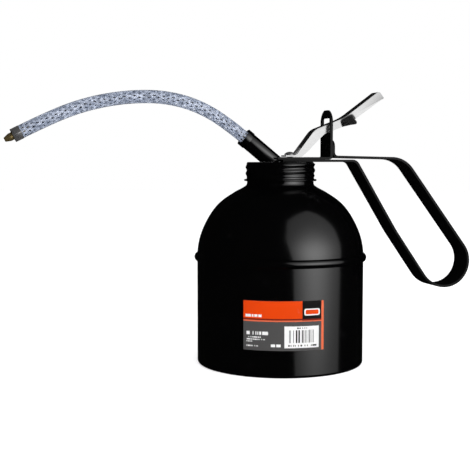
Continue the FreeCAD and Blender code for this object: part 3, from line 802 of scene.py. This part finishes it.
def makePost():
    # its top is drawn in to a half circle
    s = postShape
    bm = copied("lever_post")
    centre = s["top"] - s["half"]
    for i in range(s["levels"]):
        level = centre + s["half"] * math.sin(0.5 * math.pi * i / s["levels"])
        geom = bm.verts[:] + bm.edges[:] + bm.faces[:]
        bmesh.ops.bisect_plane(bm, geom=geom, plane_co=(0, 0, level * mm), plane_no=(0, 0, 1),
                               dist=meshCare["exact"])
    for v in bm.verts:
        above = v.co.z / mm - centre
        beside = abs(v.co.y) / mm > s["windowHalf"]
        if above > s["windowTop"] or (above > 0 and beside):
            reach = math.sqrt(max(0, s["roundR"] ** 2 - above**2)) * mm
            v.co.y = math.copysign(min(abs(v.co.y), reach), v.co.y)
    bmesh.ops.remove_doubles(bm, verts=bm.verts, dist=meshCare["merge"])
    bmesh.ops.dissolve_degenerate(bm, edges=bm.edges, dist=meshCare["sliver"])
    rounded(bm, corners(bm), *edgeRounds["lever_post"])
    piece = show(bm, "leverPost", "head", "satin_black")
    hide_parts("lever_post")


makePost()

rivet = {
    "frontX": 26.08,         # millimetres
    "rearX": 28.72,
    "y": 4.3,
    "z": 116.036,
    "shankR": 1.45,
    "headR": 2.2,
    "headH": 0.4,
    "dome": [(0, 1), (0.9, 0.93), (1.6, 0.7), (2.1, 0.35)],   # radius, share of the height
    "tuck": 0.02,
    "steps": 40,
}


def makeRivet(side, name, nodeName):
    s = rivet
    span = s["rearX"] - s["frontX"]
    head = [(r, -s["headH"] * share) for r, share in s["dome"]] + [(s["headR"], 0)]
    shank = [(s["shankR"], s["tuck"]), (s["shankR"], span - s["tuck"])]
    rear = [(r, span - z) for r, z in reversed(head)]
    place = (s["frontX"] * mm, side * s["y"] * mm, s["z"] * mm)
    bm = spun(head + shank + rear, s["steps"], place, (1, 0, 0))
    piece = show(bm, name, "head", "satin_black")
    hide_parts(nodeName)


makeRivet(-1, "postRivetNear", "post_rivet_near")
makeRivet(1, "postRivetFar", "post_rivet_far")

screwSlot = {"length": 5.0, "width": 0.6, "depth": 0.7, "nearDeg": 25, "farDeg": -50}


def makeScrew(name, nodeName, turnDeg):
    s = screwSlot
    piece = softened(nodeName, name, "head", "steel")
    low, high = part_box(nodeName)
    bm = bmesh.new()
    size = Matrix.Diagonal((s["length"] * mm, s["width"] * mm, 2 * s["depth"] * mm, 1))
    place = Matrix.Translation(((low.x + high.x) / 2, (low.y + high.y) / 2, high.z))
    turn = Matrix.Rotation(math.radians(turnDeg), 4, "Z")
    bmesh.ops.create_cube(bm, size=1, matrix=place @ turn @ size)
    cutAway(piece, bm)


makeScrew("plateScrewNear", "plate_screw_near", screwSlot["nearDeg"])
makeScrew("plateScrewFar", "plate_screw_far", screwSlot["farDeg"])
print("handle and post made")


leverShape = {
    "half": 0.004,           # half its width
    "halfSlack": 1e-5,
    "forkTo": 0.0085,        # the fork before this place keeps its sharp edges
    "fold": 0.0013,          # radius of the folded edges, and of the broad ones before the post
    "foldSteps": 5,
    "broadFold": 0.0024,
    "broadSteps": 6,
    "broadTo": 0.0262,
    "upward": 0.3,           # least upward slope of a top face, and its most sideways one
    "sideways": 0.1,
    "knee": (0.0382, 0.1300),
    "kneeLong": 0.0034,
    "kneeTop": -0.0036,      # the flare starts here, below the middle of the knee
    "kneeSlope": 1.25,
    "kneeRange": 0.006,
    "kneeReach": 0.012,
    "kneeInner": 0.003,      # what lies nearer the middle plane than this stays
    "kneeDeg": 28,
    "cuts": 24,
    "cutReach": 0.03,
    "flangeTurn": 0.5,       # least sideways slope of a flange's face
    "smoothDeg": 30,
}


def foldedEdges(bm):
    # the top edges of the two flanges, as those behind the post and those before it
    s = leverShape
    behind = []
    before = []
    for e in corners(bm):
        outer = all(abs(abs(v.co.y) - s["half"]) < s["halfSlack"] for v in e.verts)
        topped = any(f.normal.z > s["upward"] and abs(f.normal.y) < s["sideways"]
                     for f in e.link_faces)
        if outer and topped and min(v.co.x for v in e.verts) > s["forkTo"]:
            early = max(v.co.x for v in e.verts) < s["broadTo"]
            (before if early else behind).append(e)
    return behind, before


def cutFlanges(bm, middle, ways):
    # finer faces around the knee, so that it can bend outwards smoothly
    s = leverShape
    for way in ways:
        for i in range(s["cuts"] + 1):
            spot = middle + way * s["kneeRange"] * (2 * i / s["cuts"] - 1)
            near = [f for f in bm.faces if abs(f.normal.y) > s["flangeTurn"]
                    and (f.calc_center_median() - middle).length < s["cutReach"]]
            edges = list(dict.fromkeys(e for f in near for e in f.edges))
            verts = list(dict.fromkeys(v for f in near for v in f.verts))
            bmesh.ops.bisect_plane(bm, geom=near + edges + verts, plane_co=spot, plane_no=way,
                                   dist=meshCare["exact"])


def makeLever():
    s = leverShape
    bm = copied("thumb_lever")
    behind, before = foldedEdges(bm)
    rounded(bm, behind, s["fold"], s["foldSteps"])
    rounded(bm, [e for e in before if e.is_valid], s["broadFold"], s["broadSteps"])
    turn = math.radians(s["kneeDeg"])
    along = Vector((math.cos(turn), 0, math.sin(turn)))
    down = Vector((math.sin(turn), 0, -math.cos(turn)))
    middle = Vector((s["knee"][0], 0, s["knee"][1]))
    cutFlanges(bm, middle, (along, down))
    for v in bm.verts:
        off = v.co - middle
        aside = off.dot(along) / s["kneeLong"]
        below = max(0, off.dot(down) - s["kneeTop"])
        if abs(v.co.y) > s["kneeInner"] and off.length < s["kneeReach"]:
            v.co.y += math.copysign(s["kneeSlope"] * below * math.exp(-aside**6), v.co.y)
    piece = show(bm, "thumbLever", "lever", "nickel_plate", s["smoothDeg"])
    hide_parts("thumb_lever")


makeLever()
print("lever made")


softened("spout_tube", "spoutTube", "head", "black_enamel")
softened("spout_weld", "spoutWeld", "head", "black_enamel")
softened("spout_collar", "spoutCollar", "head", "black_enamel")
softened("piston_rod", "pistonRod", "rod", "steel")
print("spout and rod made")


labelShape = {
    "azimuthDeg": -106.5,
    "r": 0.04519,
    "low": 0.01435,
    "thick": 0.00013,
    "columns": 64,
    "rows": 12,
}


def makeLabel():
    s = labelShape
    width = labelPrint["width"] * mm
    height = labelPrint["height"] * mm
    bm = bmesh.new()
    bmesh.ops.create_grid(bm, x_segments=s["columns"], y_segments=s["rows"], size=0.5)
    flat = bm.loops.layers.uv.new("print")
    for f in bm.faces:
        for loop in f.loops:
            loop[flat].uv = (loop.vert.co.x + 0.5, loop.vert.co.y + 0.5)
    for v in bm.verts:
        azimuth = math.radians(s["azimuthDeg"]) + v.co.x * width / s["r"]
        z = s["low"] + (v.co.y + 0.5) * height
        v.co = (s["r"] * math.cos(azimuth), s["r"] * math.sin(azimuth), z)
    bmesh.ops.solidify(bm, geom=bm.faces, thickness=s["thick"])
    piece = show(bm, "labelSheet", "can", "label_paper")
    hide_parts("label")


makeLabel()
print("label made")


# the nodes that show as they are
for row in frame["record"]["subparts"]:
    piece = nodes[row["node"]]
    for place in piece.material_slots:
        place.material = finishes[row["material_slot"]]


studio = {
    "backdrop": 1.0,         # level of the white surroundings
    "dark": 0.004,           # their level in reflections
    "floorR": 3.0,
    "floorSteps": 96,
    "floorColour": (0.86, 0.86, 0.87, 1),
    "floorPale": (0.9, 0.9, 0.9, 1),
    "floorCloud": 0.4,       # width of its clouds
    "floorRough": 0.8,
    "floorGlow": 0.35,
}

keyBox = {
    "place": (0.2255, -0.3995, 0.2377),
    "target": (-0.05, -0.03, 0.0756),
    "size": (0.74, 0.87),
    "level": 0.55,           # at its dim edges
    "peak": 3.2,             # how much more at its brightest place
    "peakPlace": (0.45, 0.36),
    "peakSize": (0.3, 0.24),
    # its upper corners are cut off from this height, at this slope
    "leftCut": (0.68, 0.75),
    "rightCut": (0.62, 0.8),
    "soft": 0.06,
}

fillBox = {
    "place": (-0.35, -1.1, 0.75),
    "target": (0, 0, 0.07),
    "size": (1.2, 1.2),
    "power": 9,
}


def makeWorld():
    world = bpy.data.worlds.new("studio")
    paint = Paint(world)
    mirrored = paint.node("ShaderNodeLightPath", out="Is Glossy Ray")
    through = paint.node("ShaderNodeLightPath", out="Is Transmission Ray")
    dimmed = (mirrored - through).held()
    level = dimmed * (studio["dark"] - studio["backdrop"]) + studio["backdrop"]
    glow = paint.node("ShaderNodeBackground", {}, {"Color": (1, 1, 1, 1), "Strength": level})
    paint.node("ShaderNodeOutputWorld", {}, {"Surface": glow})
    bpy.context.scene.world = world


def softbox(name, s):
    data = bpy.data.lights.new(name, "AREA")
    data.shape = "RECTANGLE"
    data.size, data.size_y = s["size"]
    lamp = bpy.data.objects.new(name, data)
    lamp.location = s["place"]
    ahead = Vector(s["target"]) - Vector(s["place"])
    lamp.rotation_euler = ahead.to_track_quat("-Z", "Y").to_euler()
    bpy.context.scene.collection.objects.link(lamp)
    return lamp


def makeLights():
    key = softbox("keyBox", keyBox)
    data = key.data
    data.energy = math.pi * data.size * data.size_y   # a level of 1 over the whole box
    paint = Paint(data)
    spot = paint.node("ShaderNodeNewGeometry", out="Parametric")
    u = paint.node("ShaderNodeSeparateXYZ", {}, {0: spot}, "X")
    v = paint.node("ShaderNodeSeparateXYZ", {}, {0: spot}, "Y")
    places = zip((u, v), keyBox["peakPlace"], keyBox["peakSize"])
    across, upward = [way.bell(middle, width) for way, middle, width in places]
    level = across * upward * keyBox["peak"] + keyBox["level"]
    for edge, (start, slope) in ((u, keyBox["leftCut"]), (1 - u, keyBox["rightCut"])):
        cut = (v - start).larger(0) * slope
        level = level * ((edge - cut) / keyBox["soft"] + 1).held()
    glow = paint.node("ShaderNodeEmission", {}, {"Strength": level})
    paint.node("ShaderNodeOutputLight", {}, {"Surface": glow})
    fill = softbox("fillBox", fillBox)
    fill.data.energy = fillBox["power"]
    fill.visible_glossy = False


def makeFloor():
    s = studio
    white = (1, 1, 1, 1)
    paint = newPaint("floorPaint")
    cloud = paint.noise(s["floorCloud"], 2)
    colour = paint.blend(cloud, s["floorColour"], s["floorPale"])
    finish = paint.finish(colour=colour, rough=s["floorRough"], glow=white,
                          glowLevel=s["floorGlow"])
    bm = bmesh.new()
    bmesh.ops.create_circle(bm, cap_ends=True, segments=s["floorSteps"], radius=s["floorR"])
    mesh = bpy.data.meshes.new("floor")
    bm.to_mesh(mesh)
    bm.free()
    mesh.materials.append(finish)
    floor = bpy.data.objects.new("floor", mesh)
    floor.visible_glossy = False
    bpy.context.scene.collection.objects.link(floor)


makeFloor()
makeWorld()
makeLights()
print("studio made")
